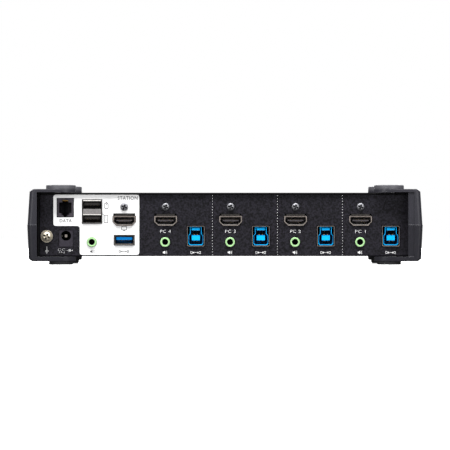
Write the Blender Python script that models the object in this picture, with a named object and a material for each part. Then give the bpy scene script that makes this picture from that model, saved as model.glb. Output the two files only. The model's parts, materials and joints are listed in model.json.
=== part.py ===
"""Four-port KVM switch: a sheet-steel case between two moulded end caps, with all its sockets on the rear panel.

Run with: blender --background --python part.py
The frame: +Z up, the feet stand on Z = 0, the rear panel with the sockets faces -Y, +X is to the right of somebody
who looks at that panel. Lengths below are in millimetres, and the mesh helpers turn them into Blender's metres.
"""

from math import cos, pi, radians, sin

import bmesh
import bpy
from mathutils import Matrix, Vector

MM = 0.001
GAP = 0.3            # what touching pieces keep between them

# Whole object
CAP_HALF_WIDTH = 134.0
CAP_HALF_DEPTH = 82.0
RIDGE_Z = 27.0       # the ridge that runs round both end caps at half height
SHEET = 1.0          # steel thickness

# Steel case
CASE_BOTTOM = 5.8
CASE_TOP = 48.9
COVER_HALF_WIDTH = 127.0
TRAY_HALF_WIDTH = COVER_HALF_WIDTH - SHEET - GAP
TRAY_TOP = CASE_TOP - SHEET - GAP
PANEL_Y = -73.5      # outer face of the rear panel
FRONT_WALL_Y = 68.0  # rear face of the tray's front wall
COVER_REAR_Y = PANEL_Y - 1.2

# End caps
CAP_TOP = 51.4
CAP_BOTTOM = 2.35
CAP_HIGH_DRAFT = 1.55   # how far the side leans in from the ridge to the top and to the bottom
CAP_LOW_DRAFT = 0.95
CAP_END_DRAFT = 2.0
CAP_EDGE_INSET = 3.9
CAP_LOW_EDGE_INSET = 3.1
CAP_LEDGE = 0.2         # the lower half stands this far proud of the upper half along the ridge
CAP_EDGE_HEIGHT = 1.7
CAP_INNER_X = 116.0  # inner edge of the walls that wrap over and under the case
CAP_RECESS_Y = 75.3  # the caps stand this far out before they turn in over the case
NARROW_JAMB_X = 127.5
WIDE_JAMB_X = 124.2
SEAT_X = 111.4       # centres of the feet and of the stacking seats over them
SEAT_Y = 69.6
SEAT_RADIUS = 10.15
SEAT_TOP = 54.2
SEAT_HOLE_RADIUS = 8.6
FOOT_RADIUS = 8.2
FOOT_HEIGHT = 3.0

# Rear panel layout: X and Z of the sockets' centres
PORT_COUNT = 4
FIRST_PORT_X = -40.3
PORT_PITCH = 44.1
HDMI_Z = 29.9
LOCK_SCREW_Z = 39.3
AUDIO_Z = 15.4
AUDIO_OFFSET_X = -0.35
USB_B_OFFSET_X = 20.5
USB_B_Z = 19.45
CONSOLE_HDMI_X = -68.4
CONSOLE_USB_Z = 16.7
CONSOLE_AUDIO_X = -90.4
USB_STACK_X = -90.2
USB_STACK_Z = 36.1
USB_STACK_PORTS = (4.45, -5.0)  # heights of the two openings over the stack's centre
SERIAL_X = -108.4
SERIAL_Z = 38.8
POWER_X = -107.9
POWER_Z = 17.8
POWER_HOLE_RISE = 1.8
GROUND_X = -121.0
GROUND_Z = 19.3

# Boards
LOWER_BOARD_Z = 10.4
UPPER_BOARD_Z = 25.3
BOARD = 1.6
BOARD_REAR_Y = PANEL_Y + SHEET + 0.8
FRONT_BOARD_Y = 60.0

# Front
BEZEL_REAR_Y = FRONT_WALL_Y + SHEET + GAP
BEZEL_FRONT_Y = 75.0
BEZEL_WALL = 3.0
BUTTON_Z = 22.0
BUTTON_WIDTH = 16.0
BUTTON_HEIGHT = 9.0
BUTTON_FRONT_Y = 76.6
FIRST_BUTTON_X = -18.0
BUTTON_PITCH = 26.0
MODE_BUTTON_X = 10.0
MODE_BUTTON_WIDTH = 10.0
BUTTON_TRAVEL = 0.8
DOME_TOP_Y = 65.2
LIGHT_Z = 34.0
LIGHT_SPREAD = 3.6   # each port has two windows, this far either side of its button's centre
LIGHT_WIDTH = 3.2
LIGHT_HEIGHT = 1.8
FRONT_USB_X = 100.0
FRONT_USB_Z = 24.0

BLACK_STEEL = ("black_steel", (0.018, 0.017, 0.022), 0.55, 0.3)
CAP_PLASTIC = ("cap_plastic", (0.055, 0.053, 0.062), 0.5, 0.0)
BEZEL_PLASTIC = ("bezel_plastic", (0.012, 0.012, 0.014), 0.15, 0.0)
BUTTON_PLASTIC = ("button_plastic", (0.09, 0.09, 0.1), 0.4, 0.0)
FOOT_RUBBER = ("foot_rubber", (0.02, 0.022, 0.024), 0.8, 0.0)
NICKEL = ("nickel", (0.62, 0.58, 0.54), 0.3, 1.0)
ZINC = ("zinc", (0.66, 0.68, 0.7), 0.28, 1.0)
BRASS = ("brass", (0.78, 0.62, 0.33), 0.25, 1.0)
GOLD = ("gold", (0.83, 0.62, 0.25), 0.3, 1.0)
BLACK_PLASTIC = ("black_plastic", (0.02, 0.02, 0.022), 0.5, 0.0)
BLUE_PLASTIC = ("blue_plastic", (0.0, 0.22, 0.75), 0.4, 0.0)
GREEN_PLASTIC = ("green_plastic", (0.45, 0.8, 0.33), 0.4, 0.0)
BOARD_GREEN = ("board_green", (0.02, 0.14, 0.06), 0.45, 0.0)
CLEAR_PLASTIC = ("clear_plastic", (0.8, 0.85, 0.88), 0.15, 0.0)
SILICONE = ("silicone", (0.45, 0.45, 0.47), 0.7, 0.0)

AXES = {"X": (1, 2, 0), "Y": (0, 2, 1), "Z": (0, 1, 2)}


def clear_scene():
    for obj in list(bpy.data.objects):
        bpy.data.objects.remove(obj)


def material(finish):
    name, colour, roughness, metallic = finish
    found = bpy.data.materials.get(name)
    if found:
        return found
    made = bpy.data.materials.new(name)
    made.use_nodes = True
    shader = made.node_tree.nodes["Principled BSDF"]
    shader.inputs["Base Color"].default_value = (*colour, 1.0)
    shader.inputs["Roughness"].default_value = roughness
    shader.inputs["Metallic"].default_value = metallic
    return made


# ---------------------------------------------------------------- outlines

def rectangle(width, height, centre=(0.0, 0.0), corner=0.0):
    """Corner points of a rectangle, each corner cut off by a flat when a corner size is given."""
    u, v = centre
    w, h = width / 2, height / 2
    if not corner:
        return [(u - w, v - h), (u + w, v - h), (u + w, v + h), (u - w, v + h)]
    return [
        (u - w + corner, v - h), (u + w - corner, v - h), (u + w, v - h + corner), (u + w, v + h - corner),
        (u + w - corner, v + h), (u - w + corner, v + h), (u - w, v + h - corner), (u - w, v - h + corner),
    ]


def circle(radius, sides, centre=(0.0, 0.0)):
    return [
        (centre[0] + radius * cos(2 * pi * i / sides), centre[1] + radius * sin(2 * pi * i / sides))
        for i in range(sides)
    ]


def arc(radius, centre, start, end, steps):
    """Points on an arc, from start to end in degrees."""
    turns = [radians(start + (end - start) * i / steps) for i in range(steps + 1)]
    return [(centre[0] + radius * cos(t), centre[1] + radius * sin(t)) for t in turns]


def hdmi_outline(width, height, chamfer, corner=0.5):
    """The socket's outline: full width above, chamfered to the narrow side below."""
    w, h = width / 2, height / 2
    return [
        (-w + chamfer, -h), (w - chamfer, -h), (w, -h + chamfer), (w, h - corner),
        (w - corner, h), (-w + corner, h), (-w, h - corner), (-w, -h + chamfer),
    ]


def cross(length, width):
    """A plus sign, the outline of a cross recess."""
    a, b = length / 2, width / 2
    return [
        (-b, -a), (b, -a), (b, -b), (a, -b), (a, b), (b, b),
        (b, a), (-b, a), (-b, b), (-a, b), (-a, -b), (-b, -b),
    ]


# ---------------------------------------------------------------- meshes

def finished(bm):
    """The bmesh as a mesh in metres, with its faces pointing out."""
    bmesh.ops.recalc_face_normals(bm, faces=bm.faces)
    bmesh.ops.scale(bm, vec=(MM, MM, MM), verts=bm.verts)
    mesh = bpy.data.meshes.new("shape")
    bm.to_mesh(mesh)
    bm.free()
    return mesh


def placed(axis, u, v, w):
    """The point with the given places along the two axes across the named one, and w along it."""
    point = [0.0, 0.0, 0.0]
    first, second, along = AXES[axis]
    point[first], point[second], point[along] = u, v, w
    return point


def add_loft(bm, axis, sections):
    """A closed solid through outlines of equal point count, each given with its place along the axis."""
    rings = [[bm.verts.new(placed(axis, u, v, w)) for u, v in outline] for w, outline in sections]
    for low, high in zip(rings, rings[1:]):
        for i, j in neighbours(len(low)):
            bm.faces.new((low[i], low[j], high[j], high[i]))
    bm.faces.new(rings[0][::-1])
    bm.faces.new(rings[-1])


def neighbours(count):
    return [(i, (i + 1) % count) for i in range(count)]


def loft(axis, sections):
    bm = bmesh.new()
    add_loft(bm, axis, sections)
    return finished(bm)


def prism(axis, outline, low, high):
    return loft(axis, [(low, outline), (high, outline)])


def prisms(axis, outlines, low, high):
    """Several separate prisms in one mesh, for a cutter."""
    bm = bmesh.new()
    for outline in outlines:
        add_loft(bm, axis, [(low, outline), (high, outline)])
    return finished(bm)


def box(low, high):
    """A box between two corners."""
    (x0, y0, z0), (x1, y1, z1) = low, high
    return prism("Z", [(x0, y0), (x1, y0), (x1, y1), (x0, y1)], z0, z1)


def tube(axis, sections):
    """A closed wall between an outer and an inner outline, each section given with its place along the axis."""
    bm = bmesh.new()
    outer = [[bm.verts.new(placed(axis, u, v, w)) for u, v in out] for w, out, _ in sections]
    inner = [[bm.verts.new(placed(axis, u, v, w)) for u, v in hole] for w, _, hole in sections]
    for rings in (outer, inner):
        for low, high in zip(rings, rings[1:]):
            for i, j in neighbours(len(low)):
                bm.faces.new((low[i], low[j], high[j], high[i]))
    for out, hole in ((outer[0], inner[0]), (outer[-1], inner[-1])):
        for i, j in neighbours(len(out)):
            bm.faces.new((out[i], out[j], hole[j], hole[i]))
    return finished(bm)


def turned(axis, profile, sides=24, centre=(0.0, 0.0)):
    """A closed solid of revolution about the axis. The profile is (radius, place along the axis), and its two ends
    lie on the axis."""
    bm = bmesh.new()
    first = bm.verts.new(placed(axis, *centre, profile[0][1]))
    last = bm.verts.new(placed(axis, *centre, profile[-1][1]))
    rings = [
        [bm.verts.new(placed(axis, u, v, w)) for u, v in circle(radius, sides, centre)]
        for radius, w in profile[1:-1]
    ]
    for low, high in zip(rings, rings[1:]):
        for i, j in neighbours(sides):
            bm.faces.new((low[i], low[j], high[j], high[i]))
    for i, j in neighbours(sides):
        bm.faces.new((first, rings[0][j], rings[0][i]))
        bm.faces.new((last, rings[-1][i], rings[-1][j]))
    return finished(bm)


def cylinder(axis, radius, low, high, sides=24, centre=(0.0, 0.0)):
    return prism(axis, circle(radius, sides, centre), low, high)


def combined(start, *steps):
    """The start mesh with each (operation, mesh) applied by an exact Boolean, as one plain mesh."""
    body = bpy.data.objects.new("body", start)
    bpy.context.scene.collection.objects.link(body)
    tools = []
    for operation, mesh in steps:
        tool = bpy.data.objects.new("tool", mesh)
        bpy.context.scene.collection.objects.link(tool)
        tools.append(tool)
        modifier = body.modifiers.new(operation, "BOOLEAN")
        modifier.operation = operation
        modifier.solver = "EXACT"
        modifier.object = tool
    bpy.context.view_layer.update()
    graph = bpy.context.evaluated_depsgraph_get()
    made = bpy.data.meshes.new_from_object(body.evaluated_get(graph))
    for obj in (body, *tools):
        bpy.data.objects.remove(obj)
    return made


def cut(*meshes):
    return [("DIFFERENCE", mesh) for mesh in meshes]


def join(*meshes):
    return [("UNION", mesh) for mesh in meshes]


# ---------------------------------------------------------------- objects

def group(name, location=(0.0, 0.0, 0.0), turn=0.0, parent=None):
    """An empty that carries the pieces of one sub-assembly."""
    empty = bpy.data.objects.new(name, None)
    bpy.context.scene.collection.objects.link(empty)
    empty.location = Vector(location) * MM
    empty.rotation_euler = (0.0, 0.0, turn)
    empty.parent = parent
    return empty


def piece(name, mesh, finish, parent, location=(0.0, 0.0, 0.0), smooth=True):
    """One sub-part: a named object with its own material."""
    obj = bpy.data.objects.new(name, mesh)
    bpy.context.scene.collection.objects.link(obj)
    obj.location = Vector(location) * MM
    obj.parent = parent
    if not mesh.materials:
        mesh.materials.append(material(finish))
    if smooth:
        mesh.shade_smooth()
        mesh.set_sharp_from_angle(angle=radians(35))
    return obj


# ---------------------------------------------------------------- case

def hdmi_cutout(x):
    """The panel's hole for an HDMI socket, with a notch above it that shows the socket's bracket."""
    return [
        (x - 5.15, HDMI_Z - 3.45), (x + 5.15, HDMI_Z - 3.45), (x + 7.85, HDMI_Z - 0.75), (x + 7.85, HDMI_Z + 3.0),
        (x + 7.3, HDMI_Z + 3.5), (x + 7.3, HDMI_Z + 4.9), (x - 7.3, HDMI_Z + 4.9), (x - 7.3, HDMI_Z + 3.5),
        (x - 7.85, HDMI_Z + 3.0), (x - 7.85, HDMI_Z - 0.75),
    ]


def port_places():
    """(number, X) of each computer port. Port 1 is at the right end of the rear panel."""
    return [(PORT_COUNT - i, FIRST_PORT_X + PORT_PITCH * i) for i in range(PORT_COUNT)]


def rear_cutouts():
    ports = [x for _, x in port_places()]
    holes = [hdmi_cutout(x) for x in (CONSOLE_HDMI_X, *ports)]
    holes += [circle(1.6, 16, (x, LOCK_SCREW_Z)) for x in (CONSOLE_HDMI_X, *ports)]
    holes += [circle(3.55, 24, (x, AUDIO_Z)) for x in (CONSOLE_AUDIO_X, *(x + AUDIO_OFFSET_X for x in ports))]
    holes += [rectangle(12.5, 14.5, (x + USB_B_OFFSET_X, USB_B_Z)) for x in ports]
    holes.append(rectangle(11.5, 13.0, (SERIAL_X, SERIAL_Z)))
    holes.append(rectangle(13.7, 16.5, (USB_STACK_X, USB_STACK_Z)))
    holes.append(rectangle(14.1, 7.1, (CONSOLE_HDMI_X, CONSOLE_USB_Z)))
    holes.append(rectangle(9.8, 11.6, (POWER_X, POWER_Z)))
    holes.append(circle(1.9, 16, (GROUND_X, GROUND_Z)))
    return holes


def button_places():
    """(node name, X, width) of each front button."""
    ports = [(f"port_button_{i + 1}", FIRST_BUTTON_X - BUTTON_PITCH * i, BUTTON_WIDTH) for i in range(PORT_COUNT)]
    return [*ports, ("mode_button", MODE_BUTTON_X, MODE_BUTTON_WIDTH)]


def light_places():
    """X of each indicator window in the front."""
    buttons = [FIRST_BUTTON_X - BUTTON_PITCH * i for i in range(PORT_COUNT)]
    return [x + side * LIGHT_SPREAD for x in buttons for side in (-1, 1)]


def chassis_tray():
    """Floor, rear panel and front wall, bent from one sheet, with four standoffs for the lower board."""
    rear, front = PANEL_Y, FRONT_WALL_Y + SHEET
    section = [
        (rear, CASE_BOTTOM + 0.6), (rear + 0.6, CASE_BOTTOM), (front - 0.6, CASE_BOTTOM), (front, CASE_BOTTOM + 0.6),
        (front, TRAY_TOP), (front - SHEET, TRAY_TOP), (front - SHEET, CASE_BOTTOM + SHEET),
        (rear + SHEET, CASE_BOTTOM + SHEET), (rear + SHEET, TRAY_TOP), (rear, TRAY_TOP),
    ]
    standoffs = [
        cylinder("Z", 3.0, CASE_BOTTOM + SHEET / 2, LOWER_BOARD_Z - GAP, 12, (x, y))
        for x in (-112.0, 112.0) for y in (-50.0, 45.0)
    ]
    windows = [rectangle(9.0, 9.0, (x, BUTTON_Z)) for _, x, _ in button_places()]
    windows += [rectangle(LIGHT_WIDTH + 1, LIGHT_HEIGHT + 1, (x, LIGHT_Z)) for x in light_places()]
    windows.append(rectangle(15.0, 8.0, (FRONT_USB_X, FRONT_USB_Z)))
    return combined(
        prism("X", section, -TRAY_HALF_WIDTH, TRAY_HALF_WIDTH),
        *join(*standoffs),
        *cut(prisms("Y", rear_cutouts(), rear - 2, rear + SHEET + 2)),
        *cut(prisms("Y", windows, FRONT_WALL_Y - 2, FRONT_WALL_Y + SHEET + 2)),
    )


def top_cover():
    """Top and two sides, bent from one sheet, standing a little proud of the rear panel."""
    outer, inner = COVER_HALF_WIDTH, COVER_HALF_WIDTH - SHEET
    section = [
        (-outer, CASE_BOTTOM + GAP), (-inner, CASE_BOTTOM + GAP), (-inner, CASE_TOP - SHEET),
        (inner, CASE_TOP - SHEET), (inner, CASE_BOTTOM + GAP), (outer, CASE_BOTTOM + GAP),
        (outer, CASE_TOP - 0.6), (outer - 0.6, CASE_TOP), (-outer + 0.6, CASE_TOP), (-outer, CASE_TOP - 0.6),
    ]
    return prism("Y", section, COVER_REAR_Y, FRONT_WALL_Y + SHEET)


# ---------------------------------------------------------------- end caps and feet

def cap_plan(side_inset, end_inset):
    """The left cap seen from above: a straight outer side, and an inner edge with a round lobe at each seat."""
    outer = -CAP_HALF_WIDTH + side_inset
    end = CAP_HALF_DEPTH - end_inset
    lobe = end - SEAT_Y
    reach = (lobe ** 2 - (CAP_INNER_X - SEAT_X) ** 2) ** 0.5
    corner = 3.0
    turn = 180 - degrees_of(reach, CAP_INNER_X - SEAT_X)
    rear = arc(corner, (outer + corner, -end + corner), 180, 270, 5)
    rear += arc(lobe, (-SEAT_X, -SEAT_Y), -90, turn, 10)
    front = [(x, -y) for x, y in reversed(rear)]
    return rear + front


def degrees_of(rise, run):
    """The angle whose tangent is rise over run, in degrees."""
    return Vector((run, rise)).angle_signed(Vector((1.0, 0.0))) * 180 / pi


def stacking_seat(y):
    """The raised ring on a cap, which takes a foot of the unit above."""
    profile = [
        (0.0, 50.7), (SEAT_RADIUS, 50.7), (SEAT_RADIUS, SEAT_TOP - 0.7), (SEAT_RADIUS - 0.25, SEAT_TOP - 0.2),
        (SEAT_RADIUS - 0.7, SEAT_TOP), (SEAT_HOLE_RADIUS + 0.3, SEAT_TOP), (SEAT_HOLE_RADIUS, SEAT_TOP - 0.3),
        (SEAT_HOLE_RADIUS, SEAT_TOP - 2.3), (0.0, SEAT_TOP - 2.3),
    ]
    return turned("Z", profile, 32, (-SEAT_X, y))


def end_cap():
    """The left cap. The right one is the same moulding, turned half round."""
    levels = [
        (CAP_BOTTOM, CAP_LOW_EDGE_INSET, CAP_END_DRAFT + 0.2),
        (CAP_BOTTOM + CAP_EDGE_HEIGHT, CAP_LOW_DRAFT, CAP_END_DRAFT),
        (RIDGE_Z, 0.0, 0.0),
        (RIDGE_Z + CAP_LEDGE, CAP_LEDGE, CAP_LEDGE),
        (CAP_TOP - CAP_EDGE_HEIGHT, CAP_HIGH_DRAFT, CAP_END_DRAFT),
        (CAP_TOP, CAP_EDGE_INSET, CAP_END_DRAFT + 0.2),
    ]
    shell = loft("Z", [(z, cap_plan(side, end)) for z, side, end in levels])
    case_low, case_high = CASE_BOTTOM - GAP, CASE_TOP + GAP
    far = CAP_RECESS_Y
    case_room = box((-COVER_HALF_WIDTH - GAP, -far, case_low), (0.0, far, case_high))
    rear_window = box((-NARROW_JAMB_X, -CAP_HALF_DEPTH - 5, case_low), (0.0, 0.0, case_high))
    front_window = box((-WIDE_JAMB_X, 0.0, case_low), (0.0, CAP_HALF_DEPTH + 5, case_high))
    hollow = prism(
        "Y",
        [(-126.0, 7.5), (-126.0, 46.5), (-129.8, 46.5), (-131.6, RIDGE_Z), (-129.8, 7.5)],
        -CAP_RECESS_Y - 1.2, CAP_RECESS_Y + 1.2,
    )
    step_back = prism(
        "X",
        [(90.0, CASE_BOTTOM - GAP), (79.5, CASE_BOTTOM - GAP), (81.4, RIDGE_Z),
         (81.4 - CAP_LEDGE, RIDGE_Z + CAP_LEDGE), (79.5, CASE_TOP + GAP), (90.0, CASE_TOP + GAP)],
        -128.3, -120.0,
    )
    foot_pockets = prisms(
        "Z", [circle(FOOT_RADIUS + 0.4, 32, (-SEAT_X, y)) for y in (-SEAT_Y, SEAT_Y)],
        CAP_BOTTOM - 2, FOOT_HEIGHT + GAP,
    )
    return combined(
        shell,
        *join(stacking_seat(-SEAT_Y), stacking_seat(SEAT_Y)),
        *cut(case_room, rear_window, front_window, hollow, step_back, foot_pockets),
    )


def foot():
    """A rubber foot with three grooves in its sole."""
    body = turned("Z", [
        (0.0, 0.0), (FOOT_RADIUS - 0.9, 0.0), (FOOT_RADIUS - 0.25, 0.35), (FOOT_RADIUS, 1.0),
        (FOOT_RADIUS, FOOT_HEIGHT), (0.0, FOOT_HEIGHT),
    ], 32)
    grooves = []
    for i in range(3):
        groove = box((1.0, -0.6, -1.0), (FOOT_RADIUS + 1, 0.6, 0.7))
        groove.transform(Matrix.Rotation(radians(120 * i + 20), 4, "Z"))
        grooves.append(groove)
    return combined(body, *cut(*grooves))


# ---------------------------------------------------------------- boards

def lower_board():
    """Power, USB and audio board with its capacitors and hub chip, all soldered on."""
    top = LOWER_BOARD_Z + BOARD
    parts = [cylinder("Z", 4.0, top - 0.5, top + 10.0, 16, (x, 30.0)) for x in (-100.0, -88.0, -76.0)]
    parts.append(box((-60.0, 5.0, top - 0.5), (-46.0, 19.0, top + 1.4)))
    parts.append(box((30.0, 5.0, top - 0.5), (40.0, 15.0, top + 1.4)))
    return combined(box((-122.0, BOARD_REAR_Y, LOWER_BOARD_Z), (122.0, 54.0, top)), *join(*parts))


def upper_board():
    """Video board with its switching chips, notched round the tall USB sockets."""
    top = UPPER_BOARD_Z + BOARD
    notches = [
        rectangle(13.4, 21.0, (x + USB_B_OFFSET_X, BOARD_REAR_Y + 9.0)) for _, x in port_places()
    ]
    chips = [box((-20.0, -44.0, top - 0.5), (4.0, -28.0, top + 1.6))]
    chips += [box((x - 4.5, -52.0, top - 0.5), (x + 4.5, -45.5, top + 1.0)) for _, x in port_places()]
    plate = box((-118.0, BOARD_REAR_Y, UPPER_BOARD_Z), (118.0, -22.0, top))
    return combined(plate, *cut(prisms("Z", notches, UPPER_BOARD_Z - 2, top + 2)), *join(*chips))


def front_board():
    """Board behind the buttons, with the right-angle header that stands over the lower board."""
    plate = box((-112.0, FRONT_BOARD_Y, 8.5), (112.0, FRONT_BOARD_Y + BOARD, 42.0))
    header = box((-20.0, 51.0, LOWER_BOARD_Z + BOARD + GAP), (20.0, FRONT_BOARD_Y + 0.5, 15.5))
    return combined(plate, *join(header))


def board_link():
    """The stacking header between the two boards, with its keying slot."""
    low, high = LOWER_BOARD_Z + BOARD + GAP, UPPER_BOARD_Z - GAP
    slot = box((18.0, -36.0, low + 3.0), (21.0, -31.5, high + 1))
    return combined(box((-26.0, -35.0, low), (26.0, -28.0, high)), *cut(slot))


# ---------------------------------------------------------------- rear sockets, each with its mouth at Y = 0

def hdmi_shell():
    """Formed metal shell with a flared mouth, and the bracket above it that takes the lock screw."""
    mouth, body, inside = (15.3, 6.5, 2.6), (14.9, 5.8, 2.4), (13.9, 4.7, 2.1)
    flared = hdmi_outline(14.6, 5.6, 2.35)
    shell = tube("Y", [
        (-0.8, hdmi_outline(*mouth), flared),
        (-0.4, hdmi_outline(*mouth), hdmi_outline(*inside)),
        (-0.1, hdmi_outline(*body), hdmi_outline(*inside)),
        (11.5, hdmi_outline(*body), hdmi_outline(*inside)),
    ])
    rise = LOCK_SCREW_Z - HDMI_Z
    bracket = prism("Y", [
        (-6.3, 2.6), (6.3, 2.6), (6.3, 5.4), (3.8, 7.0), (3.8, rise + 3.0), (-3.8, rise + 3.0), (-3.8, 7.0),
        (-6.3, 5.4),
    ], SHEET + GAP, SHEET + GAP + 0.7)
    hole = cylinder("Y", 1.5, 0.0, 4.0, 16, (0.0, rise))
    return combined(shell, *join(bracket), *cut(hole))


def hdmi_insulator():
    back = prism("Y", hdmi_outline(13.3, 4.1, 1.95), 8.5, 11.2)
    tongue = box((-5.4, 0.8, -0.2), (5.4, 9.0, 0.6))
    root = box((-4.2, 2.2, -0.8), (4.2, 9.0, 0.0))
    return combined(back, *join(tongue, root))


def audio_jack():
    """Body and round nose in one moulding, with the 3.5 mm plug hole."""
    body = box((-3.3, SHEET + GAP, -3.1), (3.3, 12.5, 3.1))
    nose = turned("Y", [(0.0, -0.9), (3.05, -0.9), (3.25, -0.7), (3.25, 1.5), (0.0, 1.5)])
    hole = turned("Y", [(0.0, -2.0), (2.25, -2.0), (2.25, -0.8), (2.1, -0.6), (2.1, 11.0), (0.0, 11.0)])
    return combined(body, *join(nose), *cut(hole))


def usb_b_shell():
    outer, inner = rectangle(11.7, 13.7, corner=0.5), rectangle(10.9, 12.9, corner=0.3)
    flared = rectangle(11.3, 13.3, corner=0.4)
    return tube("Y", [(-0.8, outer, flared), (-0.4, outer, inner), (17.0, outer, inner)])


def usb_b_outline(shoulder, body, top, bottom, neck_low, body_high, corner):
    """The socket's stepped outline: a narrow neck over a wide body with its lower corners cut off."""
    return [
        (-body + corner, bottom), (body - corner, bottom), (body, bottom + corner), (body, body_high),
        (shoulder, neck_low), (shoulder, top), (-shoulder, top), (-shoulder, neck_low),
        (-body, body_high), (-body, bottom + corner),
    ]


def usb_b_insulator():
    """Blue moulding with its cavity, the main tongue and the smaller one in the neck."""
    outer = usb_b_outline(3.9, 4.95, 6.15, -6.1, 1.6, 0.45, 0.95)
    cavity = usb_b_outline(3.35, 4.3, 5.75, -5.4, 1.35, 0.2, 0.75)
    return combined(
        prism("Y", outer, -0.3, 16.7),
        *cut(prism("Y", cavity, -2.0, 11.0)),
        *join(box((-2.75, 0.3, -3.2), (2.75, 11.5, 0.9)), box((-2.7, 0.1, 4.0), (2.7, 11.5, 5.4))),
    )


def usb_a_shell():
    mouth, body = rectangle(13.5, 6.5, corner=0.4), rectangle(13.1, 5.8, corner=0.3)
    flared, inner = rectangle(13.0, 5.9, corner=0.3), rectangle(12.4, 5.1, corner=0.2)
    return tube("Y", [(-0.7, mouth, flared), (-0.4, mouth, inner), (-0.1, body, inner), (13.0, body, inner)])


def usb_a_insulator():
    back = box((-5.9, 9.0, -2.2), (5.9, 12.7, 2.2))
    tongue = box((-5.4, 0.6, 0.15), (5.4, 9.5, 2.1))
    return combined(back, *join(tongue))


def usb_stack_shell():
    """One metal shell round two USB sockets."""
    body = prism("Y", rectangle(13.1, 15.9, corner=0.4), -0.6, 17.0)
    openings = [rectangle(12.4, 5.3, (0.0, z), 0.2) for z in USB_STACK_PORTS]
    return combined(body, *cut(prisms("Y", openings, -2.0, 19.0)))


def usb_stack_insulator():
    """Both tongues on one back piece."""
    back = box((-5.9, 17.3, -7.2), (5.9, 19.0, 6.9))
    plugs = [box((-5.9, 10.0, z - 2.2), (5.9, 17.8, z + 2.2)) for z in USB_STACK_PORTS]
    tongues = [box((-5.3, 0.8, z - 0.15), (5.3, 10.5, z + 1.65)) for z in USB_STACK_PORTS]
    return combined(back, *join(*plugs, *tongues))


def serial_jack():
    """Modular jack with its nose in the panel and its body on the upper board."""
    down = UPPER_BOARD_Z + BOARD + GAP - SERIAL_Z
    nose = box((-5.3, -0.2, -6.2), (5.3, 3.0, 6.2))
    body = box((-6.2, SHEET + GAP, down), (6.2, 16.0, 6.8))
    cavity = prism("Y", [
        (-1.4, -8.0), (1.4, -8.0), (1.4, -4.9), (2.7, -4.9), (2.7, -3.7), (4.3, -3.7), (4.3, 3.5), (2.1, 3.5),
        (2.1, 5.4), (-2.1, 5.4), (-2.1, 3.5), (-4.3, 3.5), (-4.3, -3.7), (-2.7, -3.7), (-2.7, -4.9), (-1.4, -4.9),
    ], -2.0, 12.0)
    return combined(body, *join(nose), *cut(cavity))


def serial_contacts():
    """Four spring wires that leave one carrier, as a comb."""
    half_wire, pitch, tip, root, back = 0.2, 1.02, 1.2, 9.0, 10.0
    outline = [(-1.75, back), (-1.75, root)]
    for i in range(4):
        x = (i - 1.5) * pitch
        outline += [(x - half_wire, root), (x - half_wire, tip), (x + half_wire, tip), (x + half_wire, root)]
    outline += [(1.75, root), (1.75, back)]
    return prism("Z", outline, 4.5, 5.0)


def power_jack():
    body = box((-4.6, -0.1, -5.5), (4.6, 13.5, 5.5))
    hole = turned("Y", [
        (0.0, -2.0), (3.55, -2.0), (3.55, 0.1), (3.35, 0.4), (3.35, 10.5), (1.6, 10.5), (1.6, 15.0), (0.0, 15.0),
    ], 24, (0.0, POWER_HOLE_RISE))
    return combined(body, *cut(hole))


def power_jack_pin():
    """Centre contact, which leaves the jack through its back wall."""
    return turned("Y", [(0.0, 0.9), (0.95, 0.9), (1.3, 1.3), (1.3, 14.2), (0.0, 14.2)], 20)


def pan_head_screw(head, height, shank, reach, gap):
    """A cross-recessed screw whose head stands off the panel by the gap, with its shank running to the reach."""
    top = -gap - height
    body = turned("Y", [
        (0.0, top), (head * 0.55, top + 0.05), (head * 0.85, top + height * 0.3), (head, top + height * 0.75),
        (head, -gap), (shank, -gap), (shank, reach - 0.4), (shank - 0.4, reach), (0.0, reach),
    ], 20)
    recess = prism("Y", cross(head * 1.4, head * 0.4), top - 1.0, top + height * 0.65)
    recess.transform(Matrix.Rotation(radians(20), 4, "Y"))
    return combined(body, *cut(recess))


def ground_washer():
    return tube("Y", [
        (-1.2, circle(4.0, 24), circle(1.9, 24)), (-0.9, circle(4.2, 24), circle(1.9, 24)),
        (-GAP, circle(4.2, 24), circle(1.9, 24)),
    ])


# ---------------------------------------------------------------- front

def front_bezel():
    """Moulded front panel: a shallow tray, open at its back, with holes for the buttons, lights and USB socket."""
    half = COVER_HALF_WIDTH - GAP
    low, high = CASE_BOTTOM + GAP, CASE_TOP - GAP
    centre, height = (low + high) / 2, high - low
    body = loft("Y", [
        (BEZEL_REAR_Y, rectangle(2 * half, height, (0.0, centre), 0.8)),
        (BEZEL_FRONT_Y - 0.6, rectangle(2 * half, height, (0.0, centre), 0.8)),
        (BEZEL_FRONT_Y, rectangle(2 * half - 1.2, height - 1.2, (0.0, centre), 0.8)),
    ])
    pocket = box((-half + 2.5, BEZEL_REAR_Y - 2, low + 2.5), (half - 2.5, BEZEL_FRONT_Y - BEZEL_WALL, high - 2.5))
    holes = [rectangle(width + 0.6, BUTTON_HEIGHT + 0.6, (x, BUTTON_Z), 1.2) for _, x, width in button_places()]
    holes += [rectangle(LIGHT_WIDTH + 0.6, LIGHT_HEIGHT + 0.6, (x, LIGHT_Z)) for x in light_places()]
    holes.append(rectangle(14.1, 7.1, (FRONT_USB_X, FRONT_USB_Z)))
    return combined(body, *cut(pocket, prisms("Y", holes, BEZEL_REAR_Y - 2, BEZEL_FRONT_Y + 2)))


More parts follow.
